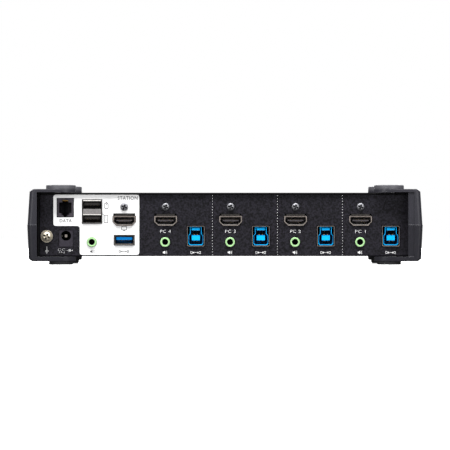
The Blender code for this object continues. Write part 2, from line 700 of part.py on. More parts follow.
def button(width):
    """A button with its retaining flange and stem. Its origin is on its axis of travel, at its front face."""
    back = BEZEL_FRONT_Y - BEZEL_WALL - GAP - BUTTON_FRONT_Y
    stem_end = DOME_TOP_Y + BUTTON_TRAVEL + 0.1 - BUTTON_FRONT_Y
    head = loft("Y", [
        (back - 0.5, rectangle(width, BUTTON_HEIGHT, corner=1.0)),
        (-0.5, rectangle(width, BUTTON_HEIGHT, corner=1.0)),
        (0.0, rectangle(width - 1.0, BUTTON_HEIGHT - 1.0, corner=0.8)),
    ])
    across, up = width / 2 + 1.2, BUTTON_HEIGHT / 2 + 1.2
    flange = box((-across, back - 1.2, -up), (across, back, up))
    stem = cylinder("Y", 2.0, stem_end, back - 0.5, 16)
    return combined(head, *join(flange, stem))


def dome_mat():
    """Silicone mat with one dome under each button."""
    board_face = FRONT_BOARD_Y + BOARD
    sheet = box((-112.0, board_face + GAP, BUTTON_Z - 6.5), (18.0, board_face + 1.2, BUTTON_Z + 6.5))
    base = board_face + 0.8
    domes = [
        turned("Y", [(0.0, base), (4.6, base), (4.2, base + 0.9), (2.6, DOME_TOP_Y - 0.2), (2.3, DOME_TOP_Y),
                     (0.0, DOME_TOP_Y)], 16, (x, BUTTON_Z))
        for _, x, _ in button_places()
    ]
    return combined(sheet, *join(*domes))


def light_pipe():
    """Clear moulding: one bar over the indicator diodes, with a prong to each window."""
    low = FRONT_BOARD_Y + BOARD + 1.2
    bar = box((min(light_places()) - 3, low, LIGHT_Z - 1.4), (max(light_places()) + 3, low + 2.0, LIGHT_Z + 1.4))
    prongs = [
        box((x - LIGHT_WIDTH / 2, low + 1.0, LIGHT_Z - LIGHT_HEIGHT / 2),
            (x + LIGHT_WIDTH / 2, BEZEL_FRONT_Y - 0.1, LIGHT_Z + LIGHT_HEIGHT / 2))
        for x in light_places()
    ]
    return combined(bar, *join(*prongs))


# ---------------------------------------------------------------- assembly

def build_case(root):
    piece("chassis_tray", chassis_tray(), BLACK_STEEL, root)
    piece("top_cover", top_cover(), BLACK_STEEL, root)
    cap, sole = end_cap(), foot()
    for side, turn in (("left", 0.0), ("right", pi)):
        end = group(f"{side}_end", turn=turn, parent=root)
        piece(f"end_cap_{side}", cap, CAP_PLASTIC, end)
        for place, y in (("rear", -SEAT_Y), ("front", SEAT_Y)):
            name = place if side == "left" else {"rear": "front", "front": "rear"}[place]
            piece(f"foot_{name}_{side}", sole, FOOT_RUBBER, end, (-SEAT_X, y, 0.0))


def build_boards(root):
    boards = group("boards", parent=root)
    piece("lower_board", lower_board(), BOARD_GREEN, boards)
    piece("upper_board", upper_board(), BOARD_GREEN, boards)
    piece("front_board", front_board(), BOARD_GREEN, boards)
    piece("board_link", board_link(), BLACK_PLASTIC, boards)


def build_console(root, lock_screw, shared):
    console = group("console", (0.0, PANEL_Y, 0.0), parent=root)
    piece("serial_jack", serial_jack(), BLACK_PLASTIC, console, (SERIAL_X, 0, SERIAL_Z))
    piece("serial_contacts", serial_contacts(), GOLD, console, (SERIAL_X, 0, SERIAL_Z))
    piece("usb_stack_shell", usb_stack_shell(), NICKEL, console, (USB_STACK_X, 0, USB_STACK_Z))
    piece("usb_stack_insulator", usb_stack_insulator(), BLACK_PLASTIC, console, (USB_STACK_X, 0, USB_STACK_Z))
    piece("console_hdmi_shell", shared["hdmi_shell"], NICKEL, console, (CONSOLE_HDMI_X, 0, HDMI_Z))
    piece("console_hdmi_insulator", shared["hdmi_insulator"], BLACK_PLASTIC, console, (CONSOLE_HDMI_X, 0, HDMI_Z))
    piece("console_lock_screw", lock_screw, ZINC, console, (CONSOLE_HDMI_X, 0, LOCK_SCREW_Z))
    piece("console_audio_jack", shared["audio_jack"], GREEN_PLASTIC, console, (CONSOLE_AUDIO_X, 0, AUDIO_Z))
    piece("console_usb_shell", shared["usb_a_shell"], NICKEL, console, (CONSOLE_HDMI_X, 0, CONSOLE_USB_Z))
    piece("console_usb_insulator", shared["usb_a_insulator"], BLUE_PLASTIC, console,
          (CONSOLE_HDMI_X, 0, CONSOLE_USB_Z))
    piece("ground_screw", pan_head_screw(3.3, 2.2, 1.5, 6.0, 1.5), BRASS, console, (GROUND_X, 0, GROUND_Z))
    piece("ground_washer", ground_washer(), BRASS, console, (GROUND_X, 0, GROUND_Z))
    piece("power_jack", power_jack(), BLACK_PLASTIC, console, (POWER_X, 0, POWER_Z))
    piece("power_jack_pin", power_jack_pin(), NICKEL, console, (POWER_X, 0, POWER_Z + POWER_HOLE_RISE))


def build_ports(root, lock_screw, shared):
    usb_shell, usb_insulator = usb_b_shell(), usb_b_insulator()
    for number, x in port_places():
        port = group(f"port_{number}", (x, PANEL_Y, 0.0), parent=root)
        piece(f"hdmi_shell_{number}", shared["hdmi_shell"], NICKEL, port, (0, 0, HDMI_Z))
        piece(f"hdmi_insulator_{number}", shared["hdmi_insulator"], BLACK_PLASTIC, port, (0, 0, HDMI_Z))
        piece(f"lock_screw_{number}", lock_screw, ZINC, port, (0, 0, LOCK_SCREW_Z))
        piece(f"audio_jack_{number}", shared["audio_jack"], GREEN_PLASTIC, port, (AUDIO_OFFSET_X, 0, AUDIO_Z))
        piece(f"usb_b_shell_{number}", usb_shell, NICKEL, port, (USB_B_OFFSET_X, 0, USB_B_Z))
        piece(f"usb_b_insulator_{number}", usb_insulator, BLUE_PLASTIC, port, (USB_B_OFFSET_X, 0, USB_B_Z))


def build_front(root, shared):
    piece("front_bezel", front_bezel(), BEZEL_PLASTIC, root)
    piece("dome_mat", dome_mat(), SILICONE, root)
    piece("light_pipe", light_pipe(), CLEAR_PLASTIC, root)
    for name, x, width in button_places():
        piece(name, button(width), BUTTON_PLASTIC, root, (x, BUTTON_FRONT_Y, BUTTON_Z))
    socket = group("front_usb", (FRONT_USB_X, BEZEL_FRONT_Y, FRONT_USB_Z), turn=pi, parent=root)
    piece("front_usb_shell", shared["usb_a_shell"], NICKEL, socket)
    piece("front_usb_insulator", shared["usb_a_insulator"], BLUE_PLASTIC, socket)


def main():
    clear_scene()
    root = group("kvm_switch")
    shared = {
        "hdmi_shell": hdmi_shell(),
        "hdmi_insulator": hdmi_insulator(),
        "audio_jack": audio_jack(),
        "usb_a_shell": usb_a_shell(),
        "usb_a_insulator": usb_a_insulator(),
    }
    lock_screw = pan_head_screw(2.65, 1.3, 1.15, 4.5, GAP)
    build_case(root)
    build_boards(root)
    build_console(root, lock_screw, shared)
    build_ports(root, lock_screw, shared)
    build_front(root, shared)


main()
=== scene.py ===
"""Looks of the four-port KVM switch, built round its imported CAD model. Lengths in the layout are in millimetres."""

import json
from math import cos, pi, radians, sin

import bmesh
import bpy
from mathutils import Matrix, Vector


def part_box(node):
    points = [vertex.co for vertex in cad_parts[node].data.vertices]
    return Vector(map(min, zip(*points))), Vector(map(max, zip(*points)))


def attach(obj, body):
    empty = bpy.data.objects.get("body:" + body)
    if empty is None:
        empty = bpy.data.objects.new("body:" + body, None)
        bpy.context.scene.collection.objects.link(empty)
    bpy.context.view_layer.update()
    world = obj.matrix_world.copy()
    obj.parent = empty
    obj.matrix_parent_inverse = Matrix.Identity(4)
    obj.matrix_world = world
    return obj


MM = 0.001
PORTS = (1, 2, 3, 4)
CASE = "case"

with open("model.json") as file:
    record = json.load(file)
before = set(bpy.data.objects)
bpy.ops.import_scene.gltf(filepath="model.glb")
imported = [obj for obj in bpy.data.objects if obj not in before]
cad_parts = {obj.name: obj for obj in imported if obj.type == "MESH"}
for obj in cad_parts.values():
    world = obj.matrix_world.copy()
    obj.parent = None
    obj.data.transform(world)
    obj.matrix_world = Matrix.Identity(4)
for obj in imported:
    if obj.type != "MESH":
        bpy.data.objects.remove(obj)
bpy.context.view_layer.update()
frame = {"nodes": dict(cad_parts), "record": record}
NODES = frame["nodes"]


# ---------------------------------------------------------------- places, all from the CAD nodes

def low(node):
    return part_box(node)[0] / MM


def high(node):
    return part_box(node)[1] / MM


def middle(node):
    return (low(node) + high(node)) / 2


PANEL_Y = low("chassis_tray").y
CASE_TOP = high("top_cover").z
CASE_BOTTOM = low("chassis_tray").z
BEZEL_Y = high("front_bezel").y
PRINT = 0.02         # thickness of a printed layer
LIFT = 0.01          # what a printed layer keeps from the face under it
STACK_PORTS = (4.45, -5.0)   # heights of the stack's two openings over its middle
DOT_PITCH = 1.91     # of the dotted lines between the ports
SHARP_ANGLE = 38     # degrees between faces over which an edge stays sharp
HDMI = {n: middle(f"hdmi_insulator_{n}") for n in PORTS}
AUDIO = {n: middle(f"audio_jack_{n}") for n in PORTS}
USB_B = {n: middle(f"usb_b_shell_{n}") for n in PORTS}
CONSOLE_HDMI = middle("console_hdmi_insulator")
CONSOLE_AUDIO = middle("console_audio_jack")
CONSOLE_USB = middle("console_usb_shell")
STACK = middle("usb_stack_shell")
GROUND = middle("ground_screw")
POWER_PIN = middle("power_jack_pin")
SERIAL = middle("serial_contacts")


# ---------------------------------------------------------------- materials

class Nodes:
    """A material's node tree, with short calls to add to it."""

    def __init__(self, name):
        self.material = bpy.data.materials.new(name)
        self.material.use_nodes = True
        self.tree = self.material.node_tree
        self.shader = self.tree.nodes["Principled BSDF"]
        self.coords_node = self.tree.nodes.new("ShaderNodeTexCoord")
        self.coords = self.coords_node.outputs["Object"]

    def add(self, kind, **values):
        node = self.tree.nodes.new(f"ShaderNode{kind}")
        for key, value in values.items():
            setattr(node, key, value)
        return node

    def link(self, source, target):
        self.tree.links.new(source, target)

    def noise(self, size, detail=2.0, stretch=(1.0, 1.0, 1.0), roughness=0.5):
        """A noise pattern whose features are about size millimetres across."""
        mapping = self.add("Mapping")
        mapping.inputs["Scale"].default_value = stretch
        self.link(self.coords, mapping.inputs["Vector"])
        node = self.add("TexNoise")
        node.inputs["Scale"].default_value = 1.0 / (size * MM)
        node.inputs["Detail"].default_value = detail
        node.inputs["Roughness"].default_value = roughness
        self.link(mapping.outputs["Vector"], node.inputs["Vector"])
        return node.outputs["Fac"]

    def spread(self, value, from_low, from_high, to_low, to_high):
        node = self.add("MapRange")
        for key, number in (("From Min", from_low), ("From Max", from_high), ("To Min", to_low), ("To Max", to_high)):
            node.inputs[key].default_value = number
        self.link(value, node.inputs["Value"])
        return node.outputs["Result"]

    def mix(self, factor, first, second):
        """The colour between two, each an output or three numbers."""
        node = self.add("Mix", data_type="RGBA")
        self.link(factor, node.inputs["Factor"])
        for key, colour in ((6, first), (7, second)):
            if isinstance(colour, tuple):
                node.inputs[key].default_value = (*colour, 1.0)
            else:
                self.link(colour, node.inputs[key])
        return node.outputs[2]

    def part_of(self, coordinates, axis):
        """One axis of the position or of the normal."""
        parts = self.add("SeparateXYZ")
        self.link(self.coords_node.outputs[coordinates], parts.inputs["Vector"])
        return parts.outputs[axis]

    def rounded_normal(self, radius):
        bevel = self.add("Bevel", samples=4)
        bevel.inputs["Radius"].default_value = radius * MM
        return bevel.outputs["Normal"]

    def edges(self, radius):
        """1 along sharp edges and 0 on flats, from how far a rounded normal leans from the real one."""
        geometry = self.add("NewGeometry")
        dot = self.add("VectorMath", operation="DOT_PRODUCT")
        self.link(self.rounded_normal(radius), dot.inputs[0])
        self.link(geometry.outputs["Normal"], dot.inputs[1])
        return self.spread(dot.outputs["Value"], 0.99, 0.8, 0.0, 1.0)

    def open_to_light(self, reach):
        """1 where a surface is open, falling to 0 deep in a recess, over a reach in millimetres."""
        node = self.add("AmbientOcclusion", samples=8)
        node.inputs["Distance"].default_value = reach * MM
        return node.outputs["AO"]

    def bumps(self, layers, round_edges=0.0):
        """Layers of relief, each (height output, depth in millimetres). Edges can be shaded as if rounded."""
        normal = self.rounded_normal(round_edges) if round_edges else None
        for height, depth in layers:
            bump = self.add("Bump")
            bump.inputs["Strength"].default_value = 1.0
            bump.inputs["Distance"].default_value = depth * MM
            self.link(height, bump.inputs["Height"])
            if normal:
                self.link(normal, bump.inputs["Normal"])
            normal = bump.outputs["Normal"]
        self.link(normal, self.shader.inputs["Normal"])


def scaled(colour, factor):
    return tuple(min(1.0, c * factor) for c in colour)


def surface(name, colour, roughness, metallic=0.0, tone=(3.0, 0.08), grain=(0.3, 0.01), polish=0.08,
            stretch=(1.0, 1.0, 1.0), wear=None, deep=None, upward=None, painted_highlight=None,
            round_edges=0.0, **sockets):
    """A material whose colour, roughness and relief all vary a little.

    tone is the size of the colour's patches in millimetres and how far they stray; grain is the size and the depth of
    the relief; polish is how far the roughness strays; wear is the radius and the colour of worn edges; deep is the
    reach, the colour and the span of openness of the painted shade laid deep in a recess; upward is the darker colour
    painted on what faces up, as painted shade; the one after it is the span of heights in millimetres over which the
    colour goes to the lighter one that follows them, as a painted highlight."""
    made = Nodes(name)
    shader = made.shader
    patches = made.noise(tone[0], 3.0, stretch)
    shade = made.mix(made.spread(patches, 0.3, 0.7, 0.0, 1.0), scaled(colour, 1 - tone[1]), scaled(colour, 1 + tone[1]))
    fine = made.noise(grain[0], 2.0, stretch)
    if wear:
        worn = made.spread(made.noise(2.0, 3.0), 0.45, 0.75, 0.0, 1.0)
        both = made.add("Math", operation="MULTIPLY")
        made.link(made.edges(wear[0]), both.inputs[0])
        made.link(worn, both.inputs[1])
        shade = made.mix(both.outputs["Value"], shade, wear[1])
    # Lighter colour over a span of heights: a painted highlight.
    if painted_highlight:
        height = made.part_of("Object", "Z")
        shade = made.mix(made.spread(height, painted_highlight[0] * MM, painted_highlight[1] * MM, 0.0, 1.0), shade, painted_highlight[2])
    # Darker colour on faces that point up: painted shade.
    if upward:
        shade = made.mix(made.spread(made.part_of("Normal", "Z"), 0.05, 0.35, 0.0, 1.0), shade, upward)
    # Darker colour where ambient occlusion finds little room: painted shade in recesses.
    if deep:
        shade = made.mix(made.spread(made.open_to_light(deep[0]), *deep[2], 0.0, 1.0), deep[1], shade)
    made.link(shade, shader.inputs["Base Color"])
    made.link(made.spread(fine, 0.3, 0.7, roughness - polish, roughness + polish), shader.inputs["Roughness"])
    shader.inputs["Metallic"].default_value = metallic
    for key, value in sockets.items():
        shader.inputs[key.replace("_", " ")].default_value = value
    made.bumps([(fine, grain[1]), (patches, grain[1] * 0.5)], round_edges)
    return made.material


def powder_coat(name, colour, shade_rear_faces=False):
    """Black powder coat on steel: a fine pebbled skin with lighter and darker specks. Faces that point to the rear
    can be painted darker, as painted shade."""
    made = Nodes(name)
    specks = made.noise(1.0, 1.5)
    pebbles = made.noise(0.3, 1.0)
    waves = made.noise(2.2, 2.0)
    flecked = made.mix(made.spread(specks, 0.36, 0.64, 0.0, 1.0), scaled(colour, 0.3), scaled(colour, 1.8))
    if shade_rear_faces:
        # Rear-facing faces go darker: painted shade.
        facing = made.part_of("Normal", "Y")
        flecked = made.mix(made.spread(facing, -0.95, -0.85, 0.0, 1.0), scaled(colour, 0.15), flecked)
    made.link(flecked, made.shader.inputs["Base Color"])
    made.link(made.spread(pebbles, 0.3, 0.7, 0.5, 0.68), made.shader.inputs["Roughness"])
    made.shader.inputs["Specular IOR Level"].default_value = 0.13
    made.bumps([(pebbles, 0.03), (waves, 0.02)])
    return made.material


def board_material(name):
    """Green solder mask with lighter copper tracks under it, painted near-black where little light reaches: painted
    shade.
    """
    made = Nodes(name)
    tracks = made.add("TexBrick")
    tracks.inputs["Scale"].default_value = 1.0 / (9.0 * MM)
    tracks.inputs["Mortar Size"].default_value = 0.03
    tracks.inputs["Color1"].default_value = (0.005, 0.09, 0.035, 1.0)
    tracks.inputs["Color2"].default_value = (0.006, 0.1, 0.04, 1.0)
    tracks.inputs["Mortar"].default_value = (0.03, 0.22, 0.09, 1.0)
    made.link(made.coords, tracks.inputs["Vector"])
    # Near-black where ambient occlusion finds little room: painted shade.
    shade_mask = made.spread(made.open_to_light(60.0), 0.3, 0.9, 0.0, 1.0)
    made.link(made.mix(shade_mask, (0.001, 0.002, 0.001), tracks.outputs["Color"]), made.shader.inputs["Base Color"])
    made.link(made.spread(made.noise(0.8), 0.3, 0.7, 0.28, 0.42), made.shader.inputs["Roughness"])
    made.bumps([(tracks.outputs["Fac"], 0.03), (made.noise(0.4), 0.004)])
    return made.material


def clear_material(name):
    made = Nodes(name)
    made.shader.inputs["Transmission Weight"].default_value = 0.85
    made.shader.inputs["IOR"].default_value = 1.49
    haze = made.noise(1.5, 3.0)
    made.link(made.mix(haze, (0.86, 0.9, 0.93), (0.96, 0.98, 1.0)), made.shader.inputs["Base Color"])
    made.link(made.spread(haze, 0.3, 0.7, 0.12, 0.3), made.shader.inputs["Roughness"])
    made.bumps([(haze, 0.01)])
    return made.material


# Looks given deep are darkened in their recesses by ambient occlusion: painted shade.
LOOKS = {
    "black_steel": powder_coat("powder_coat", (0.0085, 0.0078, 0.011)),
    # The top cover's rear-facing faces are painted darker: painted shade.
    "cover_coat": powder_coat("powder_coat_cover", (0.0085, 0.0078, 0.011), shade_rear_faces=True),
    # The caps turn lighter from their top up over the bosses: a painted highlight.
    "cap_plastic": surface("cap_plastic_textured", (0.0185, 0.018, 0.0235), 0.42, tone=(6.0, 0.06), grain=(0.28, 0.01),
                           polish=0.07, wear=(0.5, (0.042, 0.041, 0.048)), painted_highlight=(50.6, 52.4, (0.074, 0.073, 0.082)),
                           round_edges=0.4, Specular_IOR_Level=0.24),
    "bezel_plastic": surface("bezel_gloss_black", (0.008, 0.008, 0.01), 0.1, tone=(20.0, 0.1), grain=(14.0, 0.02),
                             polish=0.05, wear=(0.3, (0.03, 0.03, 0.032)), Coat_Weight=0.6, Coat_Roughness=0.04),
    "button_plastic": surface("button_satin_grey", (0.1, 0.1, 0.108), 0.36, tone=(2.0, 0.05), grain=(0.2, 0.006),
                              wear=(0.3, (0.18, 0.18, 0.19))),
    "foot_rubber": surface("foot_rubber_matte", (0.03, 0.031, 0.034), 0.75, tone=(0.8, 0.25), grain=(0.35, 0.03),
                           polish=0.12, wear=(0.4, (0.075, 0.075, 0.078))),
    # Nickel shells, painted darker on faces that point up: painted shade.
    "nickel": surface("nickel_shell", (0.3, 0.26, 0.235), 0.5, 0.75, tone=(1.2, 0.15), grain=(0.25, 0.004),
                      polish=0.1, stretch=(1.0, 0.15, 1.0), deep=(3.0, (0.02, 0.017, 0.015), (0.55, 0.95)),
                      upward=(0.02, 0.018, 0.017)),
    # The same nickel without the painted shade on faces that point up.
    "open_nickel": surface("nickel_shell_bright_lip", (0.3, 0.26, 0.235), 0.5, 0.75, tone=(1.2, 0.15),
                           grain=(0.25, 0.004), polish=0.1, stretch=(1.0, 0.15, 1.0),
                           deep=(3.0, (0.02, 0.017, 0.015), (0.55, 0.95))),
    "grey_nickel": surface("nickel_shell_grey", (0.255, 0.243, 0.24), 0.5, 0.75, tone=(1.2, 0.15),
                           grain=(0.25, 0.004), polish=0.1, stretch=(1.0, 0.15, 1.0),
                           deep=(3.0, (0.02, 0.017, 0.015), (0.55, 0.95))),
    # Nickel darkened for parts that sit in shadow: painted shade.
    "shaded_nickel": surface("nickel_shell_painted_shade", (0.085, 0.078, 0.074), 0.5, 0.8, tone=(1.2, 0.2),
                             grain=(0.25, 0.004), polish=0.1, deep=(3.0, (0.01, 0.009, 0.009), (0.55, 0.95))),
    # Dark blue for the shaded edges of the blue sockets: painted shade.
    "shaded_blue": surface("socket_blue_painted_shade", (0.0, 0.02, 0.075), 0.45, tone=(1.0, 0.15), grain=(0.2, 0.005),
                            Specular_IOR_Level=0.15),
    # Pale nickel for the stack's lips: a painted highlight.
    "highlight_nickel": surface("nickel_highlight_painted", (0.78, 0.75, 0.72), 0.4, 0.35, tone=(1.2, 0.12), grain=(0.25, 0.004),
                             polish=0.1, stretch=(1.0, 0.15, 1.0), deep=(3.0, (0.015, 0.013, 0.012), (0.3, 0.8))),
    # The screws' cross recesses go near-black: painted shade.
    "zinc": surface("zinc_screw", (0.2, 0.2, 0.213), 0.5, 0.75, tone=(0.6, 0.2), grain=(0.15, 0.006), polish=0.12,
                    deep=(1.6, (0.003, 0.003, 0.004), (0.72, 0.97))),
    "brass": surface("nickel_brass_screw", (0.86, 0.77, 0.62), 0.36, 0.85, tone=(0.8, 0.18), grain=(0.2, 0.006),
                     polish=0.12, deep=(1.6, (0.02, 0.016, 0.01), (0.5, 0.85))),
    "gold": surface("gold_contact", (0.85, 0.6, 0.22), 0.3, 1.0, tone=(0.4, 0.1), grain=(0.1, 0.003), polish=0.1,
                    stretch=(1.0, 0.2, 1.0)),
    "black_plastic": surface("socket_black", (0.035, 0.031, 0.03), 0.45, tone=(1.0, 0.2), grain=(0.2, 0.006),
                             deep=(3.0, (0.003, 0.003, 0.003), (0.25, 0.85)), Specular_IOR_Level=0.2),
    "tongue_black": surface("socket_tongue", (0.1, 0.09, 0.1), 0.45, tone=(1.0, 0.2), grain=(0.2, 0.006),
                            deep=(3.0, (0.004, 0.004, 0.004), (0.12, 0.6)), Specular_IOR_Level=0.2),
    "blue_plastic": surface("socket_blue", (0.0, 0.4, 0.88), 0.4, tone=(1.5, 0.06), grain=(0.2, 0.005),
                            deep=(3.5, (0.0, 0.03, 0.11), (0.4, 0.64)), Specular_IOR_Level=0.15),
    "deep_blue": surface("socket_deep_blue", (0.0, 0.24, 0.72), 0.4, tone=(1.5, 0.06), grain=(0.2, 0.005),
                         deep=(3.5, (0.0, 0.005, 0.02), (0.4, 0.7)), Specular_IOR_Level=0.15),
    "green_plastic": surface("socket_lime", (0.33, 0.57, 0.26), 0.45, tone=(1.5, 0.05), grain=(0.2, 0.005)),
    "board_green": board_material("board_green"),
    "clear_plastic": clear_material("light_guide_clear"),
    "silicone": surface("dome_silicone", (0.42, 0.42, 0.44), 0.6, tone=(1.5, 0.08), grain=(0.3, 0.01)),
    "print_white": surface("print_white", (0.8, 0.8, 0.8), 0.6, tone=(0.6, 0.03), grain=(0.35, 0.02)),
    "print_dark": surface("print_dark", (0.05, 0.05, 0.055), 0.5, tone=(0.5, 0.15), grain=(0.3, 0.01)),
    "dark_metal": surface("dark_spring_metal", (0.16, 0.15, 0.14), 0.35, 1.0, tone=(0.8, 0.2), grain=(0.2, 0.004)),
    "serial_body": surface("serial_body", (0.055, 0.049, 0.06), 0.5, tone=(1.0, 0.12), grain=(0.25, 0.01),
                           deep=(4.0, (0.001, 0.001, 0.001), (0.25, 0.85)), Specular_IOR_Level=0.12),
    "power_body": surface("power_body", (0.029, 0.026, 0.034), 0.5, tone=(1.0, 0.12), grain=(0.25, 0.01),
                          deep=(4.0, (0.001, 0.001, 0.001), (0.25, 0.85)), Specular_IOR_Level=0.12),
    # Near-black for what lies inside holes and slots: painted shade.
    "painted_shade_inside": surface("painted_shade_inside", (0.004, 0.004, 0.005), 0.6, tone=(1.0, 0.2), grain=(0.2, 0.005)),
}


# ---------------------------------------------------------------- CAD nodes

def smooth_group():
    """Geometry nodes that shade the mesh smooth, apart from its sharp edges."""
    group = bpy.data.node_groups.new("smooth_by_angle", "GeometryNodeTree")
    group.interface.new_socket("Geometry", in_out="INPUT", socket_type="NodeSocketGeometry")
    group.interface.new_socket("Geometry", in_out="OUTPUT", socket_type="NodeSocketGeometry")
    start, end = group.nodes.new("NodeGroupInput"), group.nodes.new("NodeGroupOutput")
    smooth = group.nodes.new("GeometryNodeSetShadeSmooth")
    sharp = group.nodes.new("GeometryNodeSetShadeSmooth")
    sharp.domain = "EDGE"
    sharp.inputs["Shade Smooth"].default_value = False
    angle = group.nodes.new("GeometryNodeInputMeshEdgeAngle")
    over = group.nodes.new("ShaderNodeMath")
    over.operation = "GREATER_THAN"
    over.inputs[1].default_value = radians(SHARP_ANGLE)
    for source, target in (
        (start.outputs[0], smooth.inputs["Geometry"]), (smooth.outputs[0], sharp.inputs["Geometry"]),
        (angle.outputs["Unsigned Angle"], over.inputs[0]), (over.outputs[0], sharp.inputs["Selection"]),
        (sharp.outputs[0], end.inputs[0]),
    ):
        group.links.new(source, target)
    return group


SMOOTH = smooth_group()


def add_smoothing(obj):
    modifier = obj.modifiers.new("smooth", "NODES")
    modifier.node_group = SMOOTH


def refine(node, weighted=False):
    """Joins a CAD node's split corners and smooths it. With weighted, its large faces stay flat."""
    obj = NODES[node]
    for name in ("custom_normal", "sharp_face", "sharp_edge"):
        if name in obj.data.attributes:
            obj.data.attributes.remove(obj.data.attributes[name])
    obj.modifiers.new("weld", "WELD").merge_threshold = 2e-6
    add_smoothing(obj)
    if weighted:
        obj.modifiers.new("weighted", "WEIGHTED_NORMAL").keep_sharp = True


def paint(obj, look):
    obj.data.materials.clear()
    obj.data.materials.append(LOOKS[look])


SLOT_OF = {row["node"]: row["material_slot"] for row in frame["record"]["subparts"]}
# The console USB shell takes the darkened nickel, painted shade; the top cover takes painted shade on its rear faces.
OTHER_LOOK = {
    "serial_jack": "serial_body", "power_jack": "power_body", "console_usb_insulator": "deep_blue",
    "console_usb_shell": "shaded_nickel", "usb_stack_shell": "grey_nickel", "top_cover": "cover_coat",
    "console_hdmi_insulator": "tongue_black",
    **{f"hdmi_insulator_{n}": "tongue_black" for n in PORTS}, **{f"usb_b_shell_{n}": "open_nickel" for n in PORTS},
}
WEIGHTED = ("end_cap_left", "end_cap_right")


def dress_cad_nodes():
    for name, obj in NODES.items():
        paint(obj, OTHER_LOOK.get(name, SLOT_OF[name]))
        refine(name, name in WEIGHTED)


# ---------------------------------------------------------------- meshes for new pieces

def finished(bm, name):
    bmesh.ops.recalc_face_normals(bm, faces=bm.faces)
    bmesh.ops.scale(bm, vec=(MM, MM, MM), verts=bm.verts)
    mesh = bpy.data.meshes.new(name)
    bm.to_mesh(mesh)
    bm.free()
    return mesh


def piece(name, mesh, look, body=CASE, location=(0.0, 0.0, 0.0), turn=0.0):
    """A new piece in its place, riding on a CAD body. turn is about the vertical."""
    obj = bpy.data.objects.new(name, mesh)
    bpy.context.scene.collection.objects.link(obj)
    obj.location = Vector(location) * MM
    obj.rotation_euler = (0.0, 0.0, turn)
    if not mesh.materials:
        mesh.materials.append(LOOKS[look])
    add_smoothing(obj)
    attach(obj, body)
    return obj


def add_box(bm, lowest, highest):
    corners = [
        bm.verts.new((x, y, z)) for x in (lowest[0], highest[0]) for y in (lowest[1], highest[1])
        for z in (lowest[2], highest[2])
    ]
    for quad in ((0, 1, 3, 2), (4, 6, 7, 5), (0, 4, 5, 1), (2, 3, 7, 6), (0, 2, 6, 4), (1, 5, 7, 3)):
        bm.faces.new([corners[i] for i in quad])


def add_prism(bm, outline, front, back):
    """A solid between two depths along Y, from an outline in X and Z."""
    rings = [[bm.verts.new((x, y, z)) for x, z in outline] for y in (front, back)]
    count = len(outline)
    for i in range(count):
        j = (i + 1) % count
        bm.faces.new((rings[0][i], rings[0][j], rings[1][j], rings[1][i]))
    bm.faces.new(rings[0][::-1])
    bm.faces.new(rings[1])


def add_turned(bm, profile, sides=32, centre=(0.0, 0.0)):
    """A closed turned solid about Y. The profile is (radius, depth), and its ends lie on the axis or it closes on
    itself."""
    closed = profile[0][0] > 0
    rows = []
    for radius, depth in profile:
        if radius == 0:
            rows.append([bm.verts.new((centre[0], depth, centre[1]))] * sides)
        else:
            rows.append([
                bm.verts.new((centre[0] + radius * cos(2 * pi * i / sides), depth,
                              centre[1] + radius * sin(2 * pi * i / sides)))
                for i in range(sides)
            ])
    pairs = list(zip(rows, rows[1:]))
    if closed:
        pairs.append((rows[-1], rows[0]))
    for first, second in pairs:
        for i in range(sides):
            j = (i + 1) % sides
            corners = []
            for vert in (first[i], first[j], second[j], second[i]):
                if vert not in corners:
                    corners.append(vert)
            bm.faces.new(corners)


def circle(radius, centre=(0.0, 0.0), sides=32):
    return [
        (centre[0] + radius * cos(2 * pi * i / sides), centre[1] + radius * sin(2 * pi * i / sides))
        for i in range(sides)
    ]


def rounded(points, radius, steps=5):
    """An outline with its corners rounded."""
    made = []
    count = len(points)
    for i in range(count):
        here = Vector(points[i])
        before, after = Vector(points[i - 1]) - here, Vector(points[(i + 1) % count]) - here
        start, end = here + before.normalized() * radius, here + after.normalized() * radius
        for k in range(steps + 1):
            t = k / steps
            made.append(tuple((1 - t) ** 2 * start + 2 * t * (1 - t) * here + t ** 2 * end))
    return made


def box_outline(width, height, centre=(0.0, 0.0)):
    u, v = centre
    return [(u - width / 2, v - height / 2), (u + width / 2, v - height / 2), (u + width / 2, v + height / 2),
            (u - width / 2, v + height / 2)]


def flat_mesh(name, loops, thickness=PRINT):
    """A thin printed shape facing -Y, from outlines in X and Z. An outline inside another is a hole."""
    curve = bpy.data.curves.new(name, "CURVE")
    curve.dimensions = "2D"
    curve.fill_mode = "BOTH"
    curve.extrude = thickness / 2
    for loop in loops:
        spline = curve.splines.new("POLY")
        spline.points.add(len(loop) - 1)
        for point, (u, v) in zip(spline.points, loop):
            point.co = (u, v, 0.0, 1.0)
        spline.use_cyclic_u = True
    return stood_up(curve, name)


def stood_up(curve, name):
    """The mesh of a flat curve or text, turned to face -Y and scaled from millimetres."""
    holder = bpy.data.objects.new(name, curve)
    bpy.context.scene.collection.objects.link(holder)
    bpy.context.view_layer.update()
    mesh = bpy.data.meshes.new_from_object(holder.evaluated_get(bpy.context.evaluated_depsgraph_get()))
    bpy.data.objects.remove(holder)
    bm = bmesh.new()
    bm.from_mesh(mesh)
    bmesh.ops.remove_doubles(bm, verts=bm.verts, dist=1e-5)
    bmesh.ops.transform(bm, matrix=Matrix.Rotation(radians(90), 4, "X"), verts=bm.verts)
    return finished(bm, name)


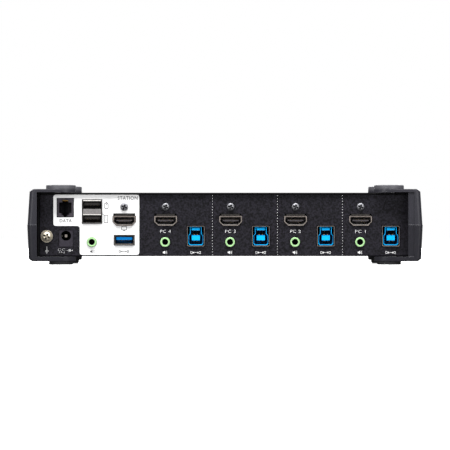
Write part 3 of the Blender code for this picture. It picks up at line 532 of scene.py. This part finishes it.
def text_mesh(name, words, width, height, weight=0.0):
    """Lettering stretched to a width and height. weight thickens its strokes."""
    curve = bpy.data.curves.new(name, "FONT")
    curve.body = words
    curve.size = 1.0
    curve.space_character = 1.12
    curve.extrude = PRINT / 2
    curve.offset = weight
    curve.resolution_u = 4
    mesh = stood_up(curve, name)
    xs, zs = [v.co.x for v in mesh.vertices], [v.co.z for v in mesh.vertices]
    wide, tall = (max(xs) - min(xs)) / MM, (max(zs) - min(zs)) / MM
    centre = Vector(((max(xs) + min(xs)) / 2, 0.0, (max(zs) + min(zs)) / 2))
    stretch = Matrix.Diagonal((width / wide, 1.0, height / tall, 1.0))
    mesh.transform(stretch @ Matrix.Translation(-centre))
    return mesh


# ---------------------------------------------------------------- printing on the rear panel

SHEET_FACE = PANEL_Y - PRINT / 2 - LIFT
OVER_WHITE = SHEET_FACE - PRINT - LIFT


def hdmi_cutout(centre):
    x, z = centre.x, centre.z
    return [
        (x - 5.2, z - 3.6), (x + 5.2, z - 3.6), (x + 8.0, z - 0.8), (x + 8.0, z + 3.1), (x + 7.45, z + 3.6),
        (x + 7.45, z + 5.05), (x - 7.45, z + 5.05), (x - 7.45, z + 3.6), (x - 8.0, z + 3.1), (x - 8.0, z - 0.8),
    ]


def console_area():
    """The white printed area round the console sockets, stepped round the power and ground corner."""
    left, right, step = -116.5, CONSOLE_HDMI.x + 10.2, STACK.x - 8.4
    top, bottom, ledge = CASE_TOP - 1.25, CASE_BOTTOM + 0.9, 26.4
    outer = rounded([(left, ledge), (step, ledge), (step, bottom), (right, bottom), (right, top), (left, top)], 1.9)
    holes = [
        hdmi_cutout(CONSOLE_HDMI),
        circle(1.75, (CONSOLE_HDMI.x, middle("console_lock_screw").z)),
        circle(3.5, (CONSOLE_AUDIO.x, CONSOLE_AUDIO.z)),
        box_outline(14.3, 7.3, (CONSOLE_USB.x, CONSOLE_USB.z)),
        box_outline(13.9, 16.7, (STACK.x, STACK.z)),
        box_outline(11.7, 13.2, (SERIAL.x, 38.8)),
    ]
    piece("print_console_area", flat_mesh("print_console_area", [outer, *holes]), "print_white",
          location=(0, SHEET_FACE, 0))


def divider_dots():
    """Dotted lines between the computer ports."""
    bm = bmesh.new()
    for n in PORTS[:-1]:
        x = HDMI[n].x - 12.3
        z = CASE_TOP - 2.0
        while z > CASE_BOTTOM + 0.6:
            add_prism(bm, box_outline(0.27, 0.44, (x, z)), -PRINT / 2, PRINT / 2)
            z -= DOT_PITCH
    piece("print_port_dividers", finished(bm, "print_port_dividers"), "print_white",
          location=(0, SHEET_FACE, 0))


def speaker_loops():
    """A loudspeaker with two sound bars."""
    return [
        [(-1.4, -0.5), (-0.8, -0.5), (0.15, -1.15), (0.15, 1.15), (-0.8, 0.5), (-1.4, 0.5)],
        box_outline(0.25, 1.3, (0.7, 0.0)), box_outline(0.25, 2.2, (1.3, 0.0)),
    ]


def link_loops(stroke=0.22):
    """A double-headed data arrow between two blocks."""
    half = stroke / 2
    inner = (1.3 - 2 * stroke, 1.6 - 2 * stroke)
    return [
        box_outline(1.3, 1.6, (-2.8, 0.0)), box_outline(*inner, (-2.8, 0.0)),
        box_outline(1.3, 1.6, (2.8, 0.0)), box_outline(*inner, (2.8, 0.0)),
        [(-2.0, 0.0), (-1.2, -0.7), (-1.2, -half), (1.2, -half), (1.2, -0.7), (2.0, 0.0), (1.2, 0.7), (1.2, half),
         (-1.2, half), (-1.2, 0.7)],
    ]


def monitor_loops():
    return [
        rounded(box_outline(3.7, 2.7, (0.0, 0.35)), 0.6), rounded(box_outline(2.9, 1.9, (0.0, 0.35)), 0.3),
        [(-0.7, -1.6), (0.7, -1.6), (0.35, -1.0), (-0.35, -1.0)],
    ]


def mouse_loops():
    return [
        rounded(box_outline(2.7, 4.2), 1.0), rounded(box_outline(1.9, 3.4), 0.8),
        box_outline(0.55, 0.6, (0.0, 2.4)), box_outline(0.4, 1.0, (0.0, 0.9)),
    ]


def keyboard_loops():
    keys = [box_outline(0.32, 0.32, (x, z)) for x in (-0.6, 0.0, 0.6) for z in (-1.7, -1.0, -0.3, 0.4, 1.1, 1.8)]
    cord = [(-2.75, 3.4), (-2.45, 3.7), (-1.3, 2.8), (-1.6, 2.5)]
    return [rounded(box_outline(3.0, 5.4), 0.45), rounded(box_outline(2.2, 4.6), 0.25), *keys, cord]


def ground_loops():
    """An earth mark: a stem over three shorter and shorter bars."""
    return [
        box_outline(0.25, 2.9, (0.0, 1.3)), box_outline(2.4, 0.25, (0.0, -0.3)), box_outline(1.5, 0.25, (0.0, -1.0)),
        box_outline(0.7, 0.25, (0.0, -1.7)),
    ]


def polarity_loops():
    """A centre contact between a plus and a minus."""
    return [
        circle(0.85, sides=20), circle(0.65, sides=20), circle(0.3, sides=12), box_outline(0.7, 0.2, (-1.75, 0.0)),
        [(1.4, -0.11), (1.64, -0.11), (1.64, -0.35), (1.86, -0.35), (1.86, -0.11), (2.1, -0.11), (2.1, 0.11),
         (1.86, 0.11), (1.86, 0.35), (1.64, 0.35), (1.64, 0.11), (1.4, 0.11)],
    ]


def symbol(name, loops, x, z, look="print_white", y=SHEET_FACE):
    piece(name, flat_mesh(name, loops), look, location=(x, y, z))


def words(name, text, width, height, x, z, look="print_white", y=SHEET_FACE, weight=0.0):
    piece(name, text_mesh(name, text, width, height, weight), look, location=(x, y, z))


def print_rear():
    console_area()
    divider_dots()
    for n in PORTS:
        words(f"print_pc_{n}", f"PC {n}", 7.0, 2.0, HDMI[n].x - 0.1, 22.7, weight=-0.014)
        symbol(f"print_speaker_{n}", speaker_loops(), HDMI[n].x - 0.5, 8.4)
        symbol(f"print_link_{n}", link_loops(), USB_B[n].x - 0.1, 8.3)
    symbol("print_ground", ground_loops(), GROUND.x + 0.1, 9.7)
    symbol("print_polarity", polarity_loops(), -105.4, 9.7)
    words("print_dc", "DC", 4.6, 1.5, -110.8, 10.3, weight=-0.032)
    words("print_in", "IN", 3.6, 1.1, -110.7, 8.4, weight=-0.032)
    dark = {"look": "print_dark", "y": OVER_WHITE}
    words("print_data", "DATA", 8.2, 2.1, -108.1, 29.9, weight=0.012, **dark)
    words("print_station", "STATION", 13.5, 2.6, -66.1, 45.3, weight=0.006, **dark)
    symbol("print_console_speaker", speaker_loops(), -90.1, 9.0, **dark)
    symbol("print_console_link", link_loops(0.35), -68.7, 9.0, **dark)
    symbol("print_monitor", monitor_loops(), CONSOLE_HDMI.x - 0.1, 24.5, **dark)
    symbol("print_mouse", mouse_loops(), -80.5, 40.0, **dark)
    symbol("print_keyboard", keyboard_loops(), -80.8, 31.1, **dark)


# ---------------------------------------------------------------- contacts and springs in the sockets

def strips(bm, count, pitch, width, front, back, z, thick):
    """A row of contact strips that run in Y."""
    for i in range(count):
        x = (i - (count - 1) / 2) * pitch
        add_box(bm, (x - width / 2, front, z), (x + width / 2, back, z + thick))


def leaf(bm, x, z, width, side, front=0.6, back=5.0, rise=0.35):
    """A spring leaf pressed out of a shell's wall, which bulges into the opening. side is +1 when it rises."""
    steps = 6
    for i in range(steps):
        t0, t1 = i / steps, (i + 1) / steps
        y0, y1 = front + (back - front) * t0, front + (back - front) * t1
        h0, h1 = rise * sin(pi * t0) * side, rise * sin(pi * t1) * side
        ring = [(x - width / 2, y0, z + h0), (x + width / 2, y0, z + h0), (x + width / 2, y1, z + h1),
                (x - width / 2, y1, z + h1)]
        thick = 0.1 * side
        verts = [bm.verts.new(p) for p in ring] + [bm.verts.new((p[0], p[1], p[2] + thick)) for p in ring]
        for quad in ((0, 1, 2, 3), (4, 7, 6, 5), (0, 4, 5, 1), (1, 5, 6, 2), (2, 6, 7, 3), (3, 7, 4, 0)):
            bm.faces.new([verts[k] for k in quad])


def hdmi_details(tag, centre):
    """Contacts over and under the tongue, the shell's springs and the tab over the shell."""
    at = (centre.x, PANEL_Y, centre.z)
    bm = bmesh.new()
    strips(bm, 10, 1.0, 0.5, 1.3, 8.4, 0.6, 0.08)
    strips(bm, 7, 1.0, 0.5, 2.6, 8.4, -0.88, 0.08)
    piece(f"hdmi_contacts_{tag}", finished(bm, "hdmi_contacts"), "gold", location=at)
    bm = bmesh.new()
    for x in (-3.4, 3.4):
        leaf(bm, x, -2.33, 2.4, 1, 0.3, 5.0, 0.4)
        leaf(bm, x, 2.33, 2.4, -1, 0.3, 5.0, 0.4)
    piece(f"hdmi_springs_{tag}", finished(bm, "hdmi_springs"), "dark_metal", location=at)
    # The tab over the shell is in the darkened nickel: painted shade.
    bm = bmesh.new()
    add_box(bm, (-6.2, 0.3, 3.5), (6.2, 0.6, 4.6))
    piece(f"hdmi_tab_{tag}", finished(bm, "hdmi_tab"), "shaded_nickel", location=at)


def audio_details(tag, centre):
    """A near-black tube inside the plug hole: painted shade."""
    bm = bmesh.new()
    add_turned(bm, [(2.08, -0.5), (2.08, 10.8), (0.3, 10.8), (0.3, 10.5), (1.85, 10.5), (1.85, -0.4)])
    piece(f"audio_hole_shade_{tag}", finished(bm, "audio_hole_shade"), "painted_shade_inside",
          location=(centre.x, PANEL_Y, centre.z))


def usb_b_details(tag, centre):
    """Contacts, near-black boxes in their slots, a darker band round the cavity's mouth and dark strips at the
    tongue's tip. All but the contacts are painted shade.
    """
    at = (centre.x, PANEL_Y, centre.z)
    bm = bmesh.new()
    strips(bm, 2, 2.2, 0.7, 0.7, 10.5, 0.9, 0.4)
    strips(bm, 2, 2.2, 0.7, 1.5, 10.5, -3.45, 0.25)
    strips(bm, 5, 1.0, 0.45, 1.5, 10.5, 3.8, 0.2)
    piece(f"usb_b_contacts_{tag}", finished(bm, "usb_b_contacts"), "gold", location=at)
    # Near-black boxes in the contact slots: painted shade.
    bm = bmesh.new()
    for x in (-1.1, 1.1):
        add_box(bm, (x - 0.45, 9.5, 1.4), (x + 0.45, 10.9, 3.2))
    piece(f"usb_b_slot_shade_{tag}", finished(bm, "usb_b_slot_shade"), "painted_shade_inside", location=at)
    # A dark blue band round the cavity's mouth: painted shade.
    edge = [(-4.75, -4.7), (-3.9, -5.6), (3.9, -5.6), (4.75, -4.7), (4.75, 0.35), (3.6, 1.5), (3.6, 5.95), (-3.6, 5.95),
            (-3.6, 1.5), (-4.75, 0.35)]
    mouth = [(-4.28, -4.65), (-3.55, -5.38), (3.55, -5.38), (4.28, -4.65), (4.28, 0.2), (3.33, 1.35), (3.33, 5.73),
             (-3.33, 5.73), (-3.33, 1.35), (-4.28, 0.2)]
    piece(f"usb_b_mouth_shade_{tag}", flat_mesh("usb_b_mouth_shade", [edge, mouth]), "shaded_blue",
          location=(centre.x, PANEL_Y - 0.33, centre.z))
    # Dark blue strips at the tongue's tip: painted shade.
    tip = [box_outline(5.46, 0.35, (0.0, 0.7)), box_outline(5.46, 0.35, (0.0, -3.0))]
    piece(f"usb_b_tip_shade_{tag}", flat_mesh("usb_b_tip_shade", tip), "shaded_blue",
          location=(centre.x, PANEL_Y + 0.27, centre.z))


def usb_a_contacts(name, location, turn=0.0):
    """Four long contacts and five short ones at the tip, all under the tongue."""
    bm = bmesh.new()
    strips(bm, 4, 2.3, 1.0, 3.0, 9.0, 0.02, 0.13)
    strips(bm, 5, 2.0, 0.6, 1.6, 2.4, 0.02, 0.13)
    piece(name, finished(bm, "usb_a_contacts"), "gold", location=location, turn=turn)


def socket_details():
    for n in PORTS:
        hdmi_details(n, HDMI[n])
        audio_details(n, AUDIO[n])
        usb_b_details(n, USB_B[n])
    hdmi_details("console", CONSOLE_HDMI)
    audio_details("console", CONSOLE_AUDIO)
    usb_a_contacts("console_usb_contacts", (CONSOLE_USB.x, PANEL_Y, CONSOLE_USB.z))
    front = middle("front_usb_shell")
    usb_a_contacts("front_usb_contacts", (front.x, BEZEL_Y, front.z), turn=pi)
    bm = bmesh.new()
    for z in STACK_PORTS:
        strips(bm, 4, 2.3, 1.0, 3.2, 9.0, z - 0.21, 0.06)
    piece("usb_stack_contacts", finished(bm, "usb_stack_contacts"), "gold",
          location=(STACK.x, PANEL_Y, STACK.z))
    bm = bmesh.new()
    for z in STACK_PORTS:
        for x in (-2.9, 2.9):
            leaf(bm, x, z - 2.62, 1.9, 1, -0.2, 6.0, 0.55)
            leaf(bm, x, z + 2.62, 1.9, -1, 0.2, 6.0, 0.3)
    piece("usb_stack_springs", finished(bm, "usb_stack_springs"), "nickel",
          location=(STACK.x, PANEL_Y, STACK.z))
    # Thin strips on the stack's face: pale ones on its top and middle lips are painted highlights, dark ones down its
    # sides are painted shade.
    for name, look, strip_boxes in (
        ("usb_stack_painted_highlights", "highlight_nickel", ((-5.9, 5.9, 7.2, 7.85), (-6.1, 6.1, -2.3, -1.75))),
        ("usb_stack_painted_shade", "dark_metal", ((-6.55, -6.2, -7.7, 7.7), (6.2, 6.55, -7.7, 7.7))),
    ):
        bm = bmesh.new()
        for x0, x1, z0, z1 in strip_boxes:
            add_box(bm, (x0, -0.68, z0), (x1, -0.6, z1))
        piece(name, finished(bm, name), look, location=(STACK.x, PANEL_Y, STACK.z))
    bm = bmesh.new()
    add_prism(bm, [(-3.2, -0.9), (-2.95, -0.9), (-2.4, 0.0), (-2.95, 0.9), (-3.2, 0.9)], 1.5, 9.5)
    piece("power_jack_spring", finished(bm, "power_jack_spring"), "dark_metal",
          location=(POWER_PIN.x, PANEL_Y, POWER_PIN.z))


# ---------------------------------------------------------------- front

def print_front():
    y = BEZEL_Y + PRINT / 2 + LIFT
    for n in PORTS:
        centre = middle(f"port_button_{n}")
        mesh = text_mesh(f"print_number_{n}", str(n), 1.0 if n == 1 else 1.9, 3.0)
        piece(f"print_number_{n}", mesh, "print_white", body=f"port_button_{n}",
              location=(centre.x, high(f"port_button_{n}").y + PRINT / 2 + 0.005, centre.z), turn=pi)
    centre = middle("mode_button")
    mesh = flat_mesh("print_mode", [circle(1.7), circle(1.35), circle(0.45, sides=16)])
    piece("print_mode", mesh, "print_white", body="mode_button",
          location=(centre.x, high("mode_button").y + PRINT / 2 + 0.005, centre.z), turn=pi)
    socket = middle("front_usb_shell")
    mesh = flat_mesh("print_front_link", link_loops())
    piece("print_front_link", mesh, "print_white", location=(socket.x, y, socket.z + 6.6), turn=pi)


# ---------------------------------------------------------------- stage

def area_light(name, location, target, size, power, size_y=None, gloss=1.0):
    light = bpy.data.lights.new(name, "AREA")
    light.energy = power
    light.specular_factor = gloss
    light.size = size
    if size_y:
        light.shape = "RECTANGLE"
        light.size_y = size_y
    obj = bpy.data.objects.new(name, light)
    bpy.context.scene.collection.objects.link(obj)
    obj.location = Vector(location)
    obj.rotation_euler = (Vector(target) - Vector(location)).to_track_quat("-Z", "Y").to_euler()
    return obj


def build_stage():
    scene = bpy.context.scene
    scene.view_settings.view_transform = "Standard"
    scene.view_settings.look = "None"
    scene.view_settings.exposure = 0.0
    scene.view_settings.gamma = 1.0

    world = bpy.data.worlds.new("studio")
    scene.world = world
    world.use_nodes = True
    tree = world.node_tree
    background = tree.nodes["Background"]
    rays = tree.nodes.new("ShaderNodeLightPath")
    power = tree.nodes.new("ShaderNodeMapRange")
    power.inputs["To Min"].default_value = 0.16
    power.inputs["To Max"].default_value = 1.0
    tree.links.new(rays.outputs["Is Camera Ray"], power.inputs["Value"])
    tree.links.new(power.outputs["Result"], background.inputs["Strength"])
    background.inputs["Color"].default_value = (1.0, 1.0, 1.0, 1.0)

    bm = bmesh.new()
    bmesh.ops.create_grid(bm, x_segments=8, y_segments=8, size=6.0)
    mesh = bpy.data.meshes.new("floor")
    bm.to_mesh(mesh)
    bm.free()
    floor = bpy.data.objects.new("floor", mesh)
    scene.collection.objects.link(floor)
    floor.location.z = -0.00005
    pale = Nodes("floor_pale")
    pale.link(pale.mix(pale.noise(40.0), (0.86, 0.86, 0.86), (0.9, 0.9, 0.9)), pale.shader.inputs["Base Color"])
    pale.shader.inputs["Roughness"].default_value = 0.9
    pale.shader.inputs["Emission Color"].default_value = (1.0, 1.0, 1.0, 1.0)
    pale.shader.inputs["Emission Strength"].default_value = 0.88
    mesh.materials.append(pale.material)
    floor.visible_diffuse = False
    floor.visible_glossy = False

    panel, bezel = (0.0, -0.06, 0.03), (0.0, 0.06, 0.03)
    area_light("overhead", (0.0, -0.5, 1.5), panel, 2.0, 85.0, size_y=0.5, gloss=0.2)
    area_light("front_left", (-1.5, -2.0, 0.42), panel, 1.5, 36.0)
    area_light("front_right", (1.5, -2.0, 0.42), panel, 1.5, 36.0)
    area_light("behind", (0.0, 2.2, 0.9), bezel, 1.5, 40.0, gloss=0.25)

    camera = bpy.data.cameras.new("camera")
    obj = bpy.data.objects.new("camera", camera)
    scene.collection.objects.link(obj)
    distance, seen_width = 3.4, 0.30465
    obj.location = (0.0, low("end_cap_left").y * MM - distance, 0.027)
    obj.rotation_euler = (radians(90), 0.0, 0.0)
    camera.sensor_width = 36.0
    camera.lens = camera.sensor_width * distance / seen_width
    camera.clip_start, camera.clip_end = 0.1, 50.0
    scene.camera = obj


dress_cad_nodes()
print_rear()
socket_details()
print_front()
build_stage()

bpy.context.view_layer.update()
